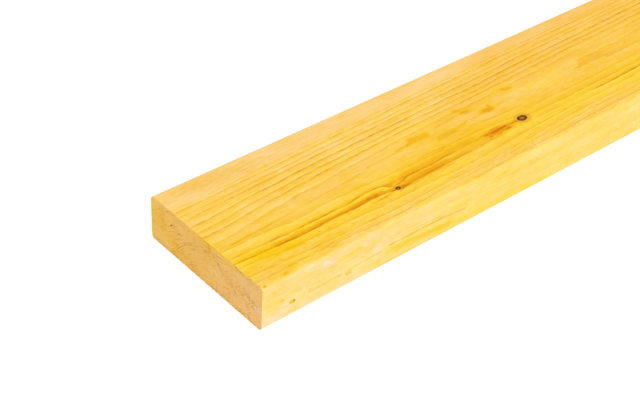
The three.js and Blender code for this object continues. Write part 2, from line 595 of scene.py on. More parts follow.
class Graph:
    """Writes nodes into one shader tree. Most calls make a node and give its output."""

    def __init__(self, tree):
        self.tree = tree

    def node(self, kind, inputs=(), **settings):
        """A node with its inputs given in turn, or by name or number."""
        made = self.tree.nodes.new(kind)
        made.location.x = NODE_SPACING * len(self.tree.nodes)
        for name, value in settings.items():
            setattr(made, name, value)
        named = inputs if isinstance(inputs, dict) else dict(enumerate(inputs))
        for key, value in named.items():
            self.feed(made.inputs[key], value)
        return made

    def feed(self, socket, value):
        if isinstance(value, bpy.types.NodeSocket):
            self.tree.links.new(value, socket)
        else:
            socket.default_value = value

    def maths(self, operation, first, second=0.0):
        return self.node("ShaderNodeMath", (first, second), operation=operation).outputs[0]

    def in_turn(self, operation, values):
        """One operation on any number of values, from the first to the last."""
        made = values[0]
        for value in values[1:]:
            made = self.maths(operation, made, value)
        return made

    def add(self, *values):
        return self.in_turn("ADD", values)

    def multiply(self, *values):
        return self.in_turn("MULTIPLY", values)

    def subtract(self, first, second):
        return self.maths("SUBTRACT", first, second)

    def inverse(self, mask):
        """1 where the mask is 0, and 0 where it is 1."""
        return self.subtract(1.0, mask)

    def vectors(self, operation, first, second=(0.0, 0.0, 0.0)):
        """Both outputs of a sum on vectors, Vector and Value."""
        return self.node("ShaderNodeVectorMath", (first, second), operation=operation).outputs

    def scaled(self, vector, scale):
        return self.vectors("MULTIPLY", vector, scale)["Vector"]

    def parts(self, vector):
        return self.node("ShaderNodeSeparateXYZ", (vector,)).outputs

    def vector(self, x, y, z):
        return self.node("ShaderNodeCombineXYZ", (x, y, z)).outputs[0]

    def ease(self, value, nought, one):
        """0 where the value is at nought, 1 where it is at one, and smooth between."""
        inputs = (value, nought, one)
        return self.node("ShaderNodeMapRange", inputs, interpolation_type="SMOOTHSTEP").outputs[0]

    def span(self, value, low, high, to_low, to_high):
        """The value moved from one straight range to another, and held at its ends."""
        return self.node("ShaderNodeMapRange", (value, low, high, to_low, to_high)).outputs[0]

    def between(self, mask, at_nought, at_one):
        """One value where the mask is 0, another where it is 1, and straight between."""
        return self.span(mask, 0.0, 1.0, at_nought, at_one)

    def spread(self, noise, low, high):
        """Soft noise, which mostly lies within 0.3 to 0.7, spread out from low to high."""
        return self.span(noise, 0.3, 0.7, low, high)

    def noise(self, vector, detail=2.0, roughness=0.5, distortion=0.0):
        """Both outputs of soft noise with cells of size 1."""
        shape = {"Detail": detail, "Roughness": roughness, "Distortion": distortion}
        return self.node("ShaderNodeTexNoise", {"Vector": vector, "Scale": 1.0, **shape}).outputs

    def cells(self, place, sizes, *settings):
        """Soft noise with cells of these sizes along the place's three axes."""
        return self.noise(self.scaled(place, [1 / size for size in sizes]), *settings)[0]

    def mix(self, share, first, second, blend="MIX"):
        inputs = {0: share, 6: first, 7: second}
        settings = {"data_type": "RGBA", "blend_type": blend}
        return self.node("ShaderNodeMix", inputs, **settings).outputs[2]

    def place(self, group, **inputs):
        """Places a node group by its name. An input's name has _ for each space."""
        made = self.node("ShaderNodeGroup", node_tree=bpy.data.node_groups[group])
        for name, value in inputs.items():
            self.feed(made.inputs[name.replace("_", " ")], value)
        return made.outputs


def new_group(name, inputs, outputs):
    """An empty node group: its graph, what it is given, and the sockets for its results."""
    tree = bpy.data.node_groups.new(name, "ShaderNodeTree")
    for socket, kind in inputs.items():
        tree.interface.new_socket(name=socket, in_out="INPUT", socket_type=kind)
    for socket, kind in outputs.items():
        tree.interface.new_socket(name=socket, in_out="OUTPUT", socket_type=kind)
    start = tree.nodes.new("NodeGroupInput")
    end = tree.nodes.new("NodeGroupOutput")
    return Graph(tree), start.outputs, end.inputs


# ---- Node groups that the wood's materials share ----


def place_group():
    """Object coordinates as millimetres from the end, the middle and the underside."""
    g, given, result = new_group("place in the plank", {"Object": VECTOR}, {"Place": VECTOR})
    millimetres = g.scaled(given["Object"], (1 / MM, 1 / MM, 1 / MM))
    corner = (-LOW.x / MM, 0.0, -LOW.z / MM)
    g.feed(result["Place"], g.vectors("ADD", millimetres, corner)["Vector"])


def swelling_group():
    """A rounded swelling in the grain, such as a branch makes: its height at a place."""
    inputs = {"Place": VECTOR, "Middle": VECTOR, "Reach": VECTOR, "Amount": FLOAT}
    g, given, result = new_group("swelling in the grain", inputs, {"Swelling": FLOAT})
    apart = g.vectors("SUBTRACT", given["Place"], given["Middle"])["Vector"]
    shares = g.vectors("DIVIDE", apart, given["Reach"])["Vector"]
    distance = g.vectors("DOT_PRODUCT", shares, shares)["Value"]
    height = g.maths("EXPONENT", g.multiply(distance, -0.5))
    g.feed(result["Swelling"], g.multiply(height, given["Amount"]))


def knot_group():
    """How far a place is from a branch's own axis, which slants up from the pith: 1 at the
    branch's bark, where it comes out on the top face. The branch tapers down to its root."""
    inputs = {"Place": VECTOR, "Middle": VECTOR, "Half Length": FLOAT, "Half Width": FLOAT}
    g, given, result = new_group("knot", inputs, {"Away": FLOAT})
    x, y, z = g.parts(given["Place"])
    middle = g.parts(given["Middle"])
    deep = g.subtract(THICKNESS / MM, z)
    taper = g.inverse(g.multiply(deep, 1 / KNOT_ROOT_DEPTH))
    from_pith = g.subtract(middle[1], PITH_ACROSS)
    axis_y = g.add(PITH_ACROSS, g.multiply(from_pith, taper))
    along = g.maths("DIVIDE", g.subtract(x, middle[0]), g.multiply(given["Half Length"], taper))
    across = g.maths("DIVIDE", g.subtract(y, axis_y), g.multiply(given["Half Width"], taper))
    wobble = g.noise(g.scaled(given["Place"], [KNOT_WOBBLES_PER_MM] * 3), 1.0)[0]
    away = g.vectors("LENGTH", g.vector(along, across, 0.0))["Value"]
    g.feed(result["Away"], g.add(away, g.multiply(g.subtract(wobble, 0.5), KNOT_WOBBLE)))


def ring_curve(g, radius):
    """The count of years at a radius, as a share of all the years, from a float curve."""
    last = RINGS[-1][0]
    share = g.maths("DIVIDE", g.subtract(radius, RING_START), last - RING_START)
    curve = g.node("ShaderNodeFloatCurve", {"Value": share})
    points = curve.mapping.curves[0].points
    for year, ring in enumerate(RINGS[:-1], 1):
        points.new((ring[0] - RING_START) / (last - RING_START), year / len(RINGS))
    for point in points:
        point.handle_type = "VECTOR"
    curve.mapping.update()
    return curve.outputs[0]


def ring_strengths(g, year):
    """Each year's own late wood: its darkness on either side, and its breadth."""
    middle_of_year = g.maths("DIVIDE", g.add(g.maths("FLOOR", year), 0.5), len(RINGS))
    ramp = g.node("ShaderNodeValToRGB", (middle_of_year,))
    ramp.color_ramp.interpolation = "CONSTANT"
    stops = ramp.color_ramp.elements
    while len(stops) < len(RINGS):
        stops.new(1.0)
    for index, (_, near, far, breadth) in enumerate(RINGS):
        stops[index].position = index / len(RINGS)
        stops[index].color = (near, far, breadth, 1.0)
    return g.node("ShaderNodeSeparateColor", (ramp.outputs[0],)).outputs


def growth_rings_group():
    """The years of the tree as a solid pattern round its pith, so that the faces, the
    sides and the sawn ends agree. The rings drift and ripple, and break up into dashes."""
    inputs = {"Place": VECTOR, "Swelling": FLOAT}
    outputs = {"Late Wood": FLOAT, "Radius": FLOAT, "Season": FLOAT, "Fibre Place": VECTOR}
    g, given, result = new_group("growth rings", inputs, outputs)
    place = given["Place"]
    x, y, z = g.parts(place)
    wander = g.noise(g.scaled(place, (1 / 95, 1 / 36, 1 / 36)), 1.0)["Color"]
    drift = g.parts(g.vectors("SUBTRACT", wander, (0.5, 0.5, 0.5))[0])
    across = g.subtract(y, g.add(g.multiply(x, PITH_ACROSS_SLANT), PITH_ACROSS))
    across = g.add(across, g.multiply(drift[0], RING_DRIFT_ACROSS))
    up = g.subtract(z, g.add(g.multiply(x, PITH_UP_SLANT), PITH_UP))
    up = g.add(up, g.multiply(drift[1], RING_DRIFT_UP))
    far_side = g.ease(across, -SIDES_BLEND, SIDES_BLEND)
    across = g.multiply(across, g.between(far_side, WIDE_SIDE, 1.0))
    radius = g.vectors("LENGTH", g.vector(across, up, 0.0))["Value"]
    ripple = g.subtract(g.cells(place, (22, 6, 6), 3.0), 0.5)
    radius = g.add(radius, g.multiply(ripple, RING_RIPPLE))
    radius = g.subtract(radius, given["Swelling"])
    year = g.multiply(ring_curve(g, radius), len(RINGS))
    near, far, breadth = ring_strengths(g, year)[:3]
    strength = g.add(g.multiply(near, g.inverse(far_side)), g.multiply(far, far_side))
    along_year = g.vector(g.multiply(x, 1 / 42), g.maths("FLOOR", year), 0.0)
    unevenness = g.noise(along_year, 3.0, 0.6)[0]
    dashes = g.cells(place, (7, 1.6, 1.6), 1.0)
    breaks = (g.spread(unevenness, 0.25, 1.5), g.spread(dashes, 0.35, 1.6))
    sharpness = g.between(breadth, *LATE_WOOD_SHARPNESS)
    late = g.maths("POWER", g.maths("FRACT", year), sharpness)
    arc = g.multiply(g.maths("ARCTAN2", across, up), FIBRE_RADIUS)
    g.feed(result["Late Wood"], g.multiply(late, g.multiply(strength, *breaks)))
    g.feed(result["Radius"], radius)
    g.feed(result["Season"], g.maths("FRACT", year))
    g.feed(result["Fibre Place"], g.vector(x, radius, arc))


def wood_tone_group():
    """Wood's colour, as light that sinks in and loses its blue first. Depth is the wood
    itself, Shade its browner late wood, Resin its orange, and Gold takes blue alone."""
    inputs = {"Depth": FLOAT, "Shade": FLOAT, "Resin": FLOAT, "Gold": FLOAT}
    g, given, result = new_group("wood tone", inputs, {"Color": COLOUR})
    depth = g.maths("MAXIMUM", given["Depth"], LEAST_DEPTH)
    sunk = g.vector(depth, given["Shade"], given["Resin"])
    channels = []
    for losses in LIGHT_LOST:
        lost = g.vectors("DOT_PRODUCT", sunk, losses)["Value"]
        channels.append(g.multiply(lost, -1.0))
    channels[2] = g.subtract(channels[2], given["Gold"])
    kept = [g.maths("EXPONENT", channel) for channel in channels]
    g.feed(result["Color"], g.vector(*kept))


def fibres_group():
    """Fine fibres that follow the rings, broad paler and darker bands of them, and the
    short dark flecks of resin canals."""
    outputs = {"Fine": FLOAT, "Bands": FLOAT, "Flecks": FLOAT}
    g, given, result = new_group("fibres", {"Fibre Place": VECTOR}, outputs)
    place = given["Fibre Place"]
    g.feed(result["Fine"], g.cells(place, (16, 0.9, 0.9), 3.0, 0.65))
    g.feed(result["Bands"], g.cells(place, (70, 2.6, 2.6), 3.0, 0.6))
    g.feed(result["Flecks"], g.ease(g.cells(place, (8, 0.7, 0.7), 1.0), 0.6, 0.74))


def streak_group():
    """A soft mark drawn out from one place to another, with a wavering edge. Along is how
    fast it fades along the grain: 1 is as fast as across it, and less runs out longer."""
    inputs = {"Place": VECTOR, "Start": VECTOR, "End": VECTOR}
    inputs.update({"Half Width": FLOAT, "Along": FLOAT})
    g, given, result = new_group("streak", inputs, {"Streak": FLOAT})
    run = g.vectors("SUBTRACT", given["End"], given["Start"])["Vector"]
    out = g.vectors("SUBTRACT", given["Place"], given["Start"])["Vector"]
    run_out = g.vectors("DOT_PRODUCT", out, run)["Value"]
    whole_run = g.vectors("DOT_PRODUCT", run, run)["Value"]
    share = g.node("ShaderNodeClamp", (g.maths("DIVIDE", run_out, whole_run),)).outputs[0]
    reached = g.scaled(run, g.vector(share, share, share))
    apart = g.vectors("SUBTRACT", out, reached)["Vector"]
    apart = g.scaled(apart, g.vector(given["Along"], 1.0, 1.0))
    waver = g.cells(given["Place"], (12, 3, 3), 4.0, 0.6)
    distance = g.vectors("LENGTH", apart)["Value"]
    distance = g.multiply(distance, g.span(waver, 0.28, 0.72, 0.4, 1.6))
    g.feed(result["Streak"], g.ease(g.maths("DIVIDE", distance, given["Half Width"]), 1.35, 0.15))


def saw_marks_group():
    """The marks that the saw leaves on an end: fine scores along its stroke, and tufts."""
    outputs = {"Scores": FLOAT, "Tufts": FLOAT}
    g, given, result = new_group("saw marks", {"Place": VECTOR}, outputs)
    turn = {"Vector": given["Place"], "Rotation": (SAW_STROKE, 0.0, 0.0)}
    turned = g.node("ShaderNodeMapping", turn).outputs[0]
    g.feed(result["Scores"], g.cells(turned, (50, 22, 1.1), 3.0, 0.6))
    g.feed(result["Tufts"], g.cells(turned, (50, 4, 1.1), 3.0, 0.65, 0.5))


# ---- Materials ----


def new_material(name):
    material = bpy.data.materials.new(name)
    material.use_nodes = True
    material.node_tree.nodes.clear()
    return material, Graph(material.node_tree)


def wood_material(name):
    """A new material, its graph, and the place in the plank that it colours."""
    material, g = new_material(name)
    coordinates = g.node("ShaderNodeTexCoord").outputs["Object"]
    return material, g, g.place("place in the plank", Object=coordinates)["Place"]


def surface(g, inputs):
    """The shader at the end of a material."""
    shader = g.node("ShaderNodeBsdfPrincipled", inputs)
    g.node("ShaderNodeOutputMaterial", {"Surface": shader.outputs["BSDF"]})


def finish_wood(g, colour, roughness, height, relief, shine=DRY_SHINE):
    """Wood's own shader, with fine relief where the height varies from 0 to 1."""
    bump = g.node("ShaderNodeBump", {"Height": height, "Distance": relief})
    inputs = {
        "Base Color": colour,
        "Roughness": roughness,
        "Normal": bump.outputs["Normal"],
        "Specular IOR Level": shine,
    }
    surface(g, inputs)


def knot_middle(knot):
    """Where a knot comes out on the top face, in the pattern's millimetres."""
    return on_top(knot["from_end"] / MM, (knot["from_side"] - WIDTH / 2) / MM)


def knot_swelling(knot):
    """The swelling in the grain beside a knot, as those in SWELLINGS are given."""
    x, y, z = knot_middle(knot)
    length = knot["length"] / MM
    width = knot["width"] / MM
    along = length * KNOT_SWELLING_ALONG + KNOT_SWELLING_MORE
    reach = (along, width * KNOT_SWELLING_ACROSS, KNOT_SWELLING_DEEP)
    return (x, y + width * KNOT_SWELLING_ASIDE, z), reach, KNOT_SWELLING


def rings_in(g, place):
    """The growth rings, as they run beside each knot and over hidden branches."""
    total = 0.0
    for middle, reach, amount in (*map(knot_swelling, KNOTS), *SWELLINGS):
        swelling = {"Middle": middle, "Reach": reach, "Amount": amount}
        made = g.place("swelling in the grain", Place=place, **swelling)
        total = g.add(total, made["Swelling"])
    return g.place("growth rings", Place=place, Swelling=total)


def marks_in(g, place, streaks=(), patches=()):
    """The strongest of the listed streaks and patches at a place."""
    strongest = 0.0
    for marks, along in ((streaks, STREAK_ALONG), (patches, PATCH_ALONG)):
        for start, end, half_width, strength in marks:
            shape = {"Start": start, "End": end, "Half_Width": half_width, "Along": along}
            made = g.place("streak", Place=place, **shape)["Streak"]
            strongest = g.maths("MAXIMUM", strongest, g.multiply(made, strength))
    return strongest


def knot_away(g, place, knot):
    """How far a place is from a knot's axis, as a share of the knot's half width."""
    half_size = {"Half_Length": knot["length"] / MM / 2, "Half_Width": knot["width"] / MM / 2}
    return g.place("knot", Place=place, Middle=knot_middle(knot), **half_size)["Away"]


def nearest_knot(g, place):
    away = [knot_away(g, place, knot) for knot in KNOTS]
    return g.in_turn("MINIMUM", away)


def knot_colours(g, place, dabs, colour):
    """Stains the wood round each knot, and colours its sound bark and its core."""
    for knot in KNOTS:
        away = knot_away(g, place, knot)
        halo = g.multiply(g.ease(away, 1.6, 1.3), g.ease(dabs, 0.42, 0.6), knot["halo"])
        layers = (
            (g.multiply(g.ease(away, 2.1, 1.6), 0.4), KNOT_STAIN),
            (halo, KNOT_HALO),
            (g.ease(away, 1.12, 1.0), SOUND_BARK),
            (g.ease(away, 0.75, 0.65), SOUND_CORE),
        )
        for share, layer in layers:
            colour = g.mix(share, colour, paint(layer))
    return colour


def marks_on_long_faces(g, place, dabs):
    """Where each kind of listed mark is, as masks. Dabs of noise break up the grain's."""
    grain = marks_in(g, place, GRAIN_STREAKS)
    grain = g.multiply(grain, g.span(dabs, 0.36, 0.6, 0.5, 1.3))
    return {
        "faint": marks_in(g, place, FAINT_STREAKS),
        "resin": marks_in(g, place, RESIN_STREAKS, RESIN_PATCHES),
        "gold": marks_in(g, place, GOLD_STREAKS, GOLD_PATCHES),
        "grain": g.maths("MAXIMUM", grain, marks_in(g, place, patches=GRAIN_DABS)),
        "pale": marks_in(g, place, patches=PALE_PATCHES),
    }


def areas_of_long_faces(g, place, rings, blots):
    """Where the long faces differ, as masks: 1 in an area, and 0 outside it."""
    x, y, z = g.parts(place)
    half = WIDTH / MM / 2
    side = g.ease(g.maths("ABSOLUTE", y), half - 3.5, half - 0.1)
    top = g.inverse(side)
    outer = g.multiply(g.ease(rings["Radius"], 88.0, 95.0), top)
    slanting = g.subtract(x, g.multiply(y, 2.0))
    amber = g.multiply(g.ease(slanting, 205.0, 300.0), g.ease(y, -44.0, -32.0), top)
    golden = g.ease(g.maths("ABSOLUTE", g.add(y, 41.0)), 30.0, 4.0)
    calm_side = g.between(side, 1.0, 0.16)
    calm = g.multiply(calm_side, g.between(outer, 1.0, 0.3))
    return {
        "everywhere": 1.0,
        "side": side,
        "outer": outer,
        "amber": amber,
        "blotched": g.multiply(g.ease(blots, 0.52, 0.66), amber),
        "golden": g.multiply(golden, top),
        "far half": g.multiply(g.ease(y, 5.0, 40.0), top),
        "near edge": g.multiply(g.ease(y, -48.0, -58.0), top),
        "calm": calm,
        "early": g.multiply(g.ease(rings["Season"], 0.4, 0.0), calm),
        "textured": g.multiply(calm_side, g.between(outer, 1.0, 0.6)),
        "patchy": g.multiply(side, g.between(g.ease(x, 110.0, 160.0), 1.0, 0.72)),
        "foot": g.multiply(g.ease(x, 150.0, 80.0), g.ease(z, 32.0, 22.0), side),
    }


def weighed(g, masks, shares):
    """The sum of some masks, each times its own share."""
    return g.add(*[g.multiply(masks[name], share) for name, share in shares.items()])


def stirred(g, noises, masks, swings):
    """The sum of some noises, each swung as far either way as is given, in its area."""
    swung = []
    for name, swing, area in swings:
        swung.append(g.multiply(g.spread(noises[name], -swing, swing), masks[area]))
    return g.add(*swung)


def planed_softwood():
    """The long faces: ring lines, fibres, resin, and paler sides, partly paler wood and partly
    painted light.
    """
    material, g, place = wood_material("planed softwood")
    x, y, _ = g.parts(place)
    rings = rings_in(g, place)
    fibres = g.place("fibres", Fibre_Place=rings["Fibre Place"])
    noises = {name: g.cells(place, *settings) for name, settings in SOFT_NOISES.items()}
    noises.update(bands=fibres["Bands"], fine=fibres["Fine"])
    masks = marks_on_long_faces(g, place, noises["dabs"])
    masks.update(areas_of_long_faces(g, place, rings, noises["blots"]))

    late = g.multiply(rings["Late Wood"], g.between(masks["side"], 1.48, 0.1))
    late = g.multiply(late, g.inverse(masks["faint"]))
    orange_lines = g.multiply(late, masks["golden"], 0.6)
    busy = g.between(g.ease(y, -38.0, -50.0), 0.08, 0.26)
    flecks = g.multiply(fibres["Flecks"], busy, masks["calm"])
    season = g.multiply(g.subtract(rings["Season"], 0.5), g.between(masks["side"], 0.07, 0.02))
    warmth = g.between(g.ease(noises["warm"], 0.36, 0.66), -0.2, 0.36)
    mellow = g.between(g.ease(x, 60.0, 250.0), -0.24, 0.12)
    depth = g.add(
        g.spread(noises["clouds"], 0.49, 0.61),
        stirred(g, noises, masks, DEPTH_SWINGS),
        weighed(g, masks, DEPTH_SHARES),
        g.multiply(season, g.inverse(masks["outer"])),
    )
    gold = g.add(
        stirred(g, noises, masks, GOLD_SWINGS),
        weighed(g, masks, GOLD_SHARES),
        g.multiply(warmth, masks["calm"]),
        g.multiply(mellow, masks["side"]),
    )
    shade = g.add(g.subtract(late, orange_lines), g.multiply(masks["grain"], 0.45), flecks)
    resin = g.add(g.multiply(masks["resin"], 0.8), orange_lines)
    colour = g.place("wood tone", Depth=depth, Shade=shade, Resin=resin, Gold=gold)["Color"]
    colour = knot_colours(g, place, noises["dabs"], colour)

    roughness = g.between(rings["Late Wood"], EARLY_ROUGHNESS, LATE_ROUGHNESS)
    height = g.add(g.multiply(rings["Late Wood"], 0.6), g.multiply(fibres["Fine"], 0.4))
    finish_wood(g, colour, roughness, height, PLANED_RELIEF)
    return material


def areas_of_ends(g, place, rings, clouds, tufts):
    """Where the ends differ, as masks. The rings show best in one band, and the saw has
    blurred the others."""
    _, y, z = g.parts(place)
    from_clearest = g.maths("ABSOLUTE", g.subtract(rings["Radius"], CLEAREST_RING))
    clear_part = g.multiply(g.ease(y, 46.0, 34.0), g.ease(y, -12.0, 0.0))
    clear = g.multiply(g.ease(from_clearest, 5.5, 3.0), clear_part)
    early = g.ease(rings["Season"], 0.3, 0.08)
    rough = g.between(g.ease(clouds, 0.44, 0.58), 0.25, 1.0)
    return {
        "clear rings": clear,
        "rough": g.multiply(rough, g.between(g.ease(y, 30.0, -10.0), 0.6, 0.9)),
        # Lifted is a paler edge just outside each clear ring: partly paler early wood, and partly
        # a painted highlight along the ring's edge.
        "lifted": g.multiply(early, g.ease(tufts, 0.44, 0.6), clear),
        "foot": g.multiply(g.ease(z, 5.0, 0.5), g.ease(tufts, 0.42, 0.62)),
        # The brow is a painted highlight: the end's top rim is made lighter and more golden, as
        # where it catches the light.
        "brow": g.multiply(g.ease(z, 42.6, 44.4), g.ease(tufts, 0.4, 0.6)),
        "middle": g.ease(g.maths("ABSOLUTE", g.subtract(y, 6.0)), 30.0, 4.0),
    }


def sawn_end_grain():
    """The ends: the rings as arcs, open pores, the saw's scores, and a dark foot."""
    material, g, place = wood_material("sawn end grain")
    y = g.parts(place)["Y"]
    rings = rings_in(g, place)
    scores, tufts = g.place("saw marks", Place=place)
    clouds = g.cells(place, (50, 26, 15), 3.0, 0.5)
    pores = g.cells(place, (50, 0.6, 0.6), 2.0, 0.6)
    masks = areas_of_ends(g, place, rings, clouds, tufts)
    masks["pale"] = marks_in(g, place, END_PALE_STREAKS)
    masks["gold"] = marks_in(g, place, END_GOLD_STREAKS)
    rough = masks["rough"]
    late = g.multiply(rings["Late Wood"], g.between(masks["clear rings"], 0.22, 1.8))
    late = g.multiply(late, g.span(tufts, 0.35, 0.65, 0.4, 1.6))

    depth = g.add(
        g.spread(clouds, 0.61, 0.75),
        g.spread(pores, -0.03, 0.03),
        g.multiply(g.spread(scores, -0.09, 0.07), rough),
        g.multiply(g.spread(tufts, -0.16, 0.12), rough),
        weighed(g, masks, END_DEPTH_SHARES),
    )
    gold = g.add(g.span(y, -75.0, 75.0, -1.15, -0.75), weighed(g, masks, END_GOLD_SHARES))
    shade = g.multiply(late, 0.5)
    resin = g.multiply(masks["foot"], 0.1)
    colour = g.place("wood tone", Depth=depth, Shade=shade, Resin=resin, Gold=gold)["Color"]
    dirt = {
        "blots": g.ease(g.cells(place, (50, 9, 7), 2.0, 0.6, 0.5), 0.46, 0.68),
        "scratches": marks_in(g, place, END_STREAKS),
        "late wood": late,
        "tufts": g.multiply(g.ease(tufts, 0.52, 0.72), rough),
        "scores": g.multiply(g.ease(scores, 0.54, 0.75), rough),
        "pores": g.ease(pores, 0.5, 0.8),
        "foot": masks["foot"],
    }
    dirt = g.maths("MINIMUM", weighed(g, dirt, END_DIRT_SHARES), 1.0)
    colour = g.mix(dirt, colour, paint(END_DIRT), "MULTIPLY")

    height = g.add(g.multiply(scores, 0.5), g.multiply(tufts, 0.5))
    height = g.add(height, g.multiply(rings["Late Wood"], 0.35))
    finish_wood(g, colour, BROKEN_ROUGHNESS, height, SAWN_RELIEF)
    return material


def gap_bark():
    """The dark, dry lining of the gap round a dead knot, and the gap's paler outer wall."""
    material, g, place = wood_material("bark in the gap")
    crumbs = g.cells(place, (0.4, 0.4, 0.4), 3.0, 0.6)
    colour = g.mix(g.span(crumbs, 0.35, 0.65, 0.0, 1.0), *map(paint, GAP_BARK))
    outer_wall = g.ease(nearest_knot(g, place), 0.86, 1.0)
    colour = g.mix(outer_wall, colour, paint(GAP_OUTER_WALL))
    finish_wood(g, colour, BARK_ROUGHNESS, crumbs, BARK_RELIEF)
    return material


def dead_knot_wood():
    """The core of a dead branch: close rings round its own axis, and a darker rim."""
    material, g, place = wood_material("dead knot wood")
    away = nearest_knot(g, place)
    ring = g.maths("FRACT", g.multiply(away, 4.5))
    speckle = g.cells(place, (0.5, 0.5, 0.5), 3.0, 0.65)
    share = g.add(g.multiply(ring, 0.4), g.span(speckle, 0.35, 0.65, 0.0, 0.6))
    colour = g.mix(share, *map(paint, DEAD_WOOD))
    rim = g.multiply(g.ease(away, 0.28, 0.52), 0.6)
    colour = g.mix(rim, colour, paint(DEAD_WOOD_RIM))
    finish_wood(g, colour, BROKEN_ROUGHNESS, speckle, KNOT_RELIEF)
    return material


def torn_fibres():
    """Fresh wood where a splinter was lifted: long broken fibres, up to a far wall in painted
    shade, an even, darker gold.
    """
    material, g, place = wood_material("torn fibres")
    shreds = g.cells(place, (5, 0.35, 0.35), 3.0, 0.6)
    colour = g.mix(g.spread(shreds, 0.0, 1.0), *map(paint, TORN_WOOD))
    past_middle = g.subtract(g.parts(place)["X"], CHIP_FROM_END / MM)
    # Painted shade: the far wall, which faces away from the light, turns an even, darker gold.
    far_wall_shade = g.ease(g.add(past_middle, g.multiply(shreds, 1.2)), 2.4, 3.9)
    colour = g.mix(far_wall_shade, colour, paint(TORN_WALL_PAINTED_SHADE))
    finish_wood(g, colour, BROKEN_ROUGHNESS, shreds, TORN_RELIEF, TORN_SHINE)
    return material


# ---- Modelling ----


def start_editing():
    bpy.ops.object.mode_set(mode="EDIT")


def leave_editing():
    bpy.ops.object.mode_set(mode="OBJECT")


def deselect_all():
    if bpy.context.object and bpy.context.object.mode != "OBJECT":
        leave_editing()
    bpy.ops.object.select_all(action="DESELECT")


def pick(piece, part, wanted):
    """In edit mode, selects only the edges or the faces that are wanted."""
    edges = part == "edges"
    bpy.context.tool_settings.mesh_select_mode = (False, edges, not edges)
    bpy.ops.mesh.select_all(action="DESELECT")
    mesh = bmesh.from_edit_mesh(piece.data)
    for element in getattr(mesh, part):
        if wanted(element):
            element.select_set(True)
    mesh.select_flush_mode()
    bmesh.update_edit_mesh(piece.data)


def runs_along(edge, axis):
    """True of an edge that is parallel to this axis."""
    run = edge.verts[1].co - edge.verts[0].co
    return abs(run[axis]) > ALONG_AXIS * run.length


def within(edge, axis, low, high):
    spots = [vertex.co[axis] for vertex in edge.verts]
    return min(spots) > low - SLACK and max(spots) < high + SLACK


def cut_across(axis, place):
    """Cuts all the faces at one plane square to an axis."""
    bpy.ops.mesh.select_all(action="SELECT")
    normal = Vector((0.0, 0.0, 0.0))
    normal[axis] = 1.0
    bpy.ops.mesh.bisect(plane_co=normal * place, plane_no=normal, threshold=SLACK)


def cut_strips(piece, axis, low, high, step):
    """Divides the faces between two planes into even strips about one step wide."""
    cuts = round((high - low) / step) - 1
    pick(piece, "edges", lambda e: runs_along(e, axis) and within(e, axis, low, high))
    bpy.ops.mesh.subdivide(number_cuts=cuts)


def planed_stock():
    """A block with its four long arrises rounded, divided finely where it will be worn."""
    deselect_all()
    middle = (LOW + HIGH) / 2
    size = (LENGTH, WIDTH, THICKNESS)
    bpy.ops.mesh.primitive_cube_add(size=1.0, location=middle, scale=size)
    piece = bpy.context.object
    bpy.ops.object.transform_apply(location=True, rotation=False, scale=True)
    start_editing()
    pick(piece, "edges", lambda e: runs_along(e, 0))
    bpy.ops.mesh.bevel(offset=ARRIS_RADIUS, segments=ARRIS_SEGMENTS, affect="EDGES")

    flat_low = LOW + Vector((0, ARRIS_RADIUS, ARRIS_RADIUS))
    flat_high = HIGH - Vector((0, ARRIS_RADIUS, ARRIS_RADIUS))
    for axis in (1, 2):
        cut_across(axis, flat_low[axis])
        cut_across(axis, flat_high[axis])
    stations = [LOW.x, LOW.x + END_ZONE, LOW.x + END_ZONE + NEXT_ZONE]
    stations += [HIGH.x - END_ZONE - NEXT_ZONE, HIGH.x - END_ZONE, HIGH.x]
    for station in stations[1:-1]:
        cut_across(0, station)
    steps = (END_ZONE_STEP, NEXT_ZONE_STEP, ALONG_STEP, NEXT_ZONE_STEP, END_ZONE_STEP)
    for low, high, step in zip(stations, stations[1:], steps):
        cut_strips(piece, 0, low, high, step)
    cut_strips(piece, 1, flat_low.y, flat_high.y, ACROSS_STEP)
    cut_strips(piece, 2, flat_low.z, flat_high.z, UP_STEP)
    leave_editing()
    return piece


def rim_distance(place):
    """How far a place lies inside the section's outline, about."""
    across = WIDTH / 2 - abs(place.y)
    up = THICKNESS / 2 - abs(place.z - THICKNESS / 2)
    into_corner = Vector((ARRIS_RADIUS - across, ARRIS_RADIUS - up))
    if into_corner.x > 0 and into_corner.y > 0:
        return ARRIS_RADIUS - into_corner.length
    return min(across, up)


def wear_ends(piece):
    """Draws the rim of each end in a little, unevenly, as a saw leaves it."""
    for vertex in piece.data.vertices:
        from_end = min(vertex.co.x - LOW.x, HIGH.x - vertex.co.x)
        if from_end > END_SLACK or rim_distance(vertex.co) > RIM_REACH:
            continue
        inwards = 1.0 if vertex.co.x < 0 else -1.0
        torn = max(0.0, noise.noise(vertex.co / MM * TEARS_PER_MM) + TEAR_SPREAD)
        on_flat = abs(vertex.co.y) < WIDTH / 2 - ARRIS_RADIUS
        tear = FLAT_TEAR if on_flat else RIM_TEAR
        vertex.co.x += inwards * (RIM_EASE + tear * torn)


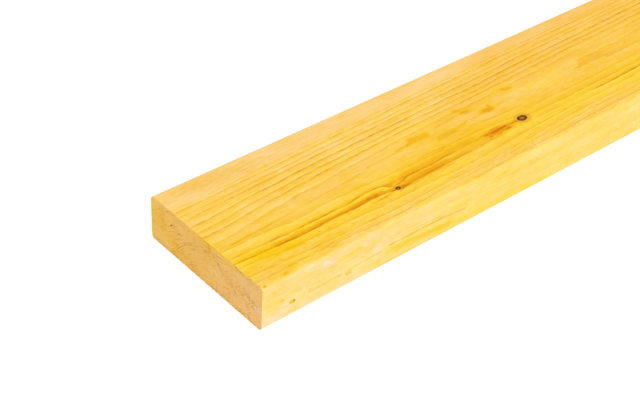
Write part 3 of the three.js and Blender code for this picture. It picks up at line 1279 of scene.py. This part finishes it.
def knot_cutter(knot, bark, core):
    """What a dead branch leaves empty: a ring-shaped gap, and a thin layer over its core."""
    deselect_all()
    deep = knot["core_sunk"] + knot["gap_depth"]
    middle = Vector((LOW.x + knot["from_end"], LOW.y + knot["from_side"], HIGH.z))
    middle.z += (CUTTER_CLEARANCE - deep) / 2
    bpy.ops.mesh.primitive_cylinder_add(
        vertices=KNOT_SIDES,
        radius=0.5,
        depth=1.0,
        location=middle,
        scale=(knot["length"], knot["width"], CUTTER_CLEARANCE + deep),
    )
    cutter = bpy.context.object
    bpy.ops.object.transform_apply(location=True, rotation=False, scale=True)
    cutter.data.materials.append(bark)
    cutter.data.materials.append(core)
    start_editing()
    pick(cutter, "faces", lambda f: f.normal.z < -FACING_AXIS)
    bpy.ops.mesh.inset(thickness=knot["gap_width"])
    rise = {"value": (0.0, 0.0, knot["gap_depth"])}
    bpy.ops.mesh.extrude_region_move(TRANSFORM_OT_translate=rise)
    cutter.active_material_index = 1
    bpy.ops.object.material_slot_assign()
    bpy.ops.mesh.region_to_loop()
    bpy.ops.mesh.bevel(offset=knot["core_rim"], segments=KNOT_RIM_SEGMENTS, affect="EDGES")
    leave_editing()
    return cutter


def chip_cutter(material):
    """What the lifted splinter takes out of the side: a flattened, tipped ball with an
    uneven surface. It is made of triangles, so that its rim is cut cleanly."""
    deselect_all()
    bpy.ops.mesh.primitive_uv_sphere_add(
        segments=CHIP_SEGMENTS,
        ring_count=CHIP_SEGMENTS // 2,
        radius=1.0,
    )
    cutter = bpy.context.object
    shape = Matrix.Diagonal((CHIP_LENGTH / 2, CHIP_DEPTH, CHIP_HEIGHT / 2, 1.0))
    place = Vector((LOW.x + CHIP_FROM_END, LOW.y, LOW.z + CHIP_ABOVE_UNDERSIDE))
    tip = Matrix.Rotation(CHIP_SLOPE, 4, "Z")
    cutter.data.transform(Matrix.Translation(place) @ tip @ shape)
    for vertex in cutter.data.vertices:
        vertex.co.z += CHIP_UNEVENNESS * noise.noise(vertex.co / MM * CHIP_LUMPS_PER_MM)
    start_editing()
    bpy.ops.mesh.select_all(action="SELECT")
    bpy.ops.mesh.quads_convert_to_tris(quad_method="BEAUTY", ngon_method="BEAUTY")
    leave_editing()
    cutter.data.materials.append(material)
    return cutter


def cut_out(piece, cutter):
    """Takes a cutter out of the piece. The cut faces keep the cutter's material."""
    deselect_all()
    bpy.context.view_layer.objects.active = piece
    cut = piece.modifiers.new("cut", "BOOLEAN")
    cut.operation = "DIFFERENCE"
    cut.solver = "EXACT"
    cut.material_mode = "TRANSFER"
    cut.object = cutter
    bpy.ops.object.modifier_apply(modifier=cut.name)
    bpy.data.objects.remove(cutter)


def girth(place):
    """How far round the section a place lies, from the foot of the side at +Y up over the
    top and round by the underside, and the whole way round."""
    flat = Vector((WIDTH / 2 - ARRIS_RADIUS, THICKNESS / 2 - ARRIS_RADIUS))
    quarter = ARRIS_RADIUS * math.pi / 2
    half_round = 2 * (flat.x + flat.y + quarter)
    y = place.y
    z = place.z - THICKNESS / 2
    passed = 0.0
    if z < -flat.y or (z <= flat.y and y < 0):
        y, z = -y, -z
        passed = half_round
    if z <= flat.y:
        passed += z + flat.y
    elif y > flat.x:
        passed += 2 * flat.y + ARRIS_RADIUS * math.atan2(z - flat.y, y - flat.x)
    elif y >= -flat.x:
        passed += 2 * flat.y + quarter + flat.x - y
    else:
        turned = ARRIS_RADIUS * math.atan2(-y - flat.x, z - flat.y)
        passed += 2 * (flat.x + flat.y) + quarter + turned
    return passed, 2 * half_round


def on_map(part, across, up):
    """A spot on the bake's map, from shares of the box of a part of the surface."""
    low_u, low_v, high_u, high_v = MAP_BOXES[part]
    u = low_u + MAP_GAP + across * (high_u - low_u - 2 * MAP_GAP)
    v = low_v + MAP_GAP + up * (high_v - low_v - 2 * MAP_GAP)
    return (u, v)


def unroll(piece):
    """Lays the surface out to be baked: the long faces unrolled as one sheet, each end flat,
    and the walls of the recesses in a corner."""
    layer = piece.data.uv_layers.new(name="OFBake")
    piece.data.uv_layers.active = layer
    start_editing()
    pick(piece, "faces", lambda f: f.material_index > ENDS)
    bpy.ops.uv.smart_project(
        angle_limit=RECESS_ANGLE,
        island_margin=RECESS_MARGIN,
        scale_to_bounds=True,
    )
    leave_editing()
    spots = piece.data.uv_layers["OFBake"].data
    for face in piece.data.polygons:
        middle, whole = girth(face.center)
        for loop, corner in zip(face.loop_indices, face.vertices):
            place = piece.data.vertices[corner].co
            along = (place.x - LOW.x) / LENGTH
            across = (place.y - LOW.y) / WIDTH
            up = (place.z - LOW.z) / THICKNESS
            if face.material_index > ENDS:
                spots[loop].uv = on_map("recesses", *spots[loop].uv)
            elif face.material_index == ENDS and face.center.x < 0:
                spots[loop].uv = on_map("end at -X", 1 - across, up)
            elif face.material_index == ENDS:
                spots[loop].uv = on_map("end at +X", across, up)
            else:
                passed = girth(place)[0]
                if passed < middle - whole / 2:
                    passed += whole
                elif passed > middle + whole / 2:
                    passed -= whole
                spots[loop].uv = on_map("long faces", along, 1 - passed / whole)


def make_groups():
    place_group()
    swelling_group()
    knot_group()
    growth_rings_group()
    wood_tone_group()
    fibres_group()
    streak_group()
    saw_marks_group()


def timber_plank():
    make_groups()
    bark = gap_bark()
    core = dead_knot_wood()
    torn = torn_fibres()
    piece = planed_stock()
    piece.name = "timber_plank"
    piece.data.name = "timber_plank"
    piece.data.materials.append(planed_softwood())
    piece.data.materials.append(sawn_end_grain())
    for face in piece.data.polygons:
        faces_along = abs(face.normal.x) > FACING_AXIS
        face.material_index = ENDS if faces_along else LONG_FACES
    wear_ends(piece)
    for knot in KNOTS:
        cut_out(piece, knot_cutter(knot, bark, core))
    cut_out(piece, chip_cutter(torn))
    deselect_all()
    piece.select_set(True)
    bpy.context.view_layer.objects.active = piece
    start_editing()
    bpy.ops.mesh.select_all(action="SELECT")
    bpy.ops.mesh.normals_make_consistent(inside=False)
    leave_editing()
    bpy.ops.object.shade_smooth_by_angle(angle=SMOOTH_UP_TO)
    unroll(piece)
    return piece


# ---- Studio ----

# The floor, which glows so that it looks pale, the room's light and how bright the room
# looks, and the broad light that gives the shading.
WHITE = (1.0, 1.0, 1.0, 1.0)
FLOOR_SIZE = 40.0
FLOOR_DROP = 0.2 * MM
FLOOR_GREY = (0.14, 0.14, 0.14, 1.0)
FLOOR_GLOW = 0.9
FLOOR_ROUGHNESS = 0.9
ROOM_LIGHT = 0.76
ROOM_AS_SEEN = 1.05
KEY_ENERGY = 0.33 * math.pi
KEY_ANGLE = math.radians(50)
KEY_COLOUR = (1.0, 0.985, 0.96)
TOWARDS_KEY = Vector((0.19, -0.44, 0.88))

# Where the camera stands from the top of the corner at -X and -Y, and how it is turned.
CAMERA_FROM_CORNER = Vector((-0.552995, -0.669330, 0.761585))
CAMERA_TURN = math.radians(-42.2645)
CAMERA_TIP = math.radians(90 - 37.7207)
CAMERA_ROLL = math.radians(3.2665)
CAMERA_LENS = 83.262
CAMERA_SENSOR = 36.0


def pale_floor():
    deselect_all()
    bpy.ops.mesh.primitive_plane_add(size=FLOOR_SIZE, location=(0.0, 0.0, -FLOOR_DROP))
    floor = bpy.context.object
    floor.name = "studio_floor"
    material, g = new_material("pale floor")
    inputs = {
        "Base Color": FLOOR_GREY,
        "Roughness": FLOOR_ROUGHNESS,
        "Emission Color": WHITE,
        "Emission Strength": FLOOR_GLOW,
        "Specular IOR Level": 0.0,
    }
    surface(g, inputs)
    floor.data.materials.append(material)


def studio_light():
    """A white room for soft light all round, and one broad light from the right."""
    world = bpy.data.worlds.new("white room")
    world.use_nodes = True
    world.node_tree.nodes.clear()
    g = Graph(world.node_tree)
    room = g.node("ShaderNodeBackground", {"Color": WHITE, "Strength": ROOM_LIGHT})
    seen_room = g.node("ShaderNodeBackground", {"Color": WHITE, "Strength": ROOM_AS_SEEN})
    seen = g.node("ShaderNodeLightPath").outputs["Is Camera Ray"]
    mixed = g.node("ShaderNodeMixShader", (seen, room.outputs[0], seen_room.outputs[0]))
    g.node("ShaderNodeOutputWorld", {"Surface": mixed.outputs[0]})
    bpy.context.scene.world = world

    key = bpy.data.lights.new("key", "SUN")
    key.energy = KEY_ENERGY
    key.angle = KEY_ANGLE
    key.color = KEY_COLOUR
    lamp = bpy.data.objects.new("key", key)
    lamp.rotation_euler = TOWARDS_KEY.to_track_quat("Z", "Y").to_euler()
    bpy.context.scene.collection.objects.link(lamp)
    bpy.context.scene.view_settings.view_transform = "Standard"


def camera():
    """Looks down along the plank from beyond its corner at -X and -Y."""
    corner = Vector((LOW.x, LOW.y, HIGH.z))
    lens = bpy.data.cameras.new("camera")
    lens.lens = CAMERA_LENS
    lens.sensor_width = CAMERA_SENSOR
    made = bpy.data.objects.new("camera", lens)
    turned = Matrix.Rotation(CAMERA_TURN, 4, "Z") @ Matrix.Rotation(CAMERA_TIP, 4, "X")
    turned = turned @ Matrix.Rotation(CAMERA_ROLL, 4, "Z")
    made.matrix_world = Matrix.Translation(corner + CAMERA_FROM_CORNER) @ turned
    bpy.context.scene.collection.objects.link(made)
    bpy.context.scene.camera = made


camera()
pale_floor()
studio_light()
plank = timber_plank()
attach(plank, "root")
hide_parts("plank")
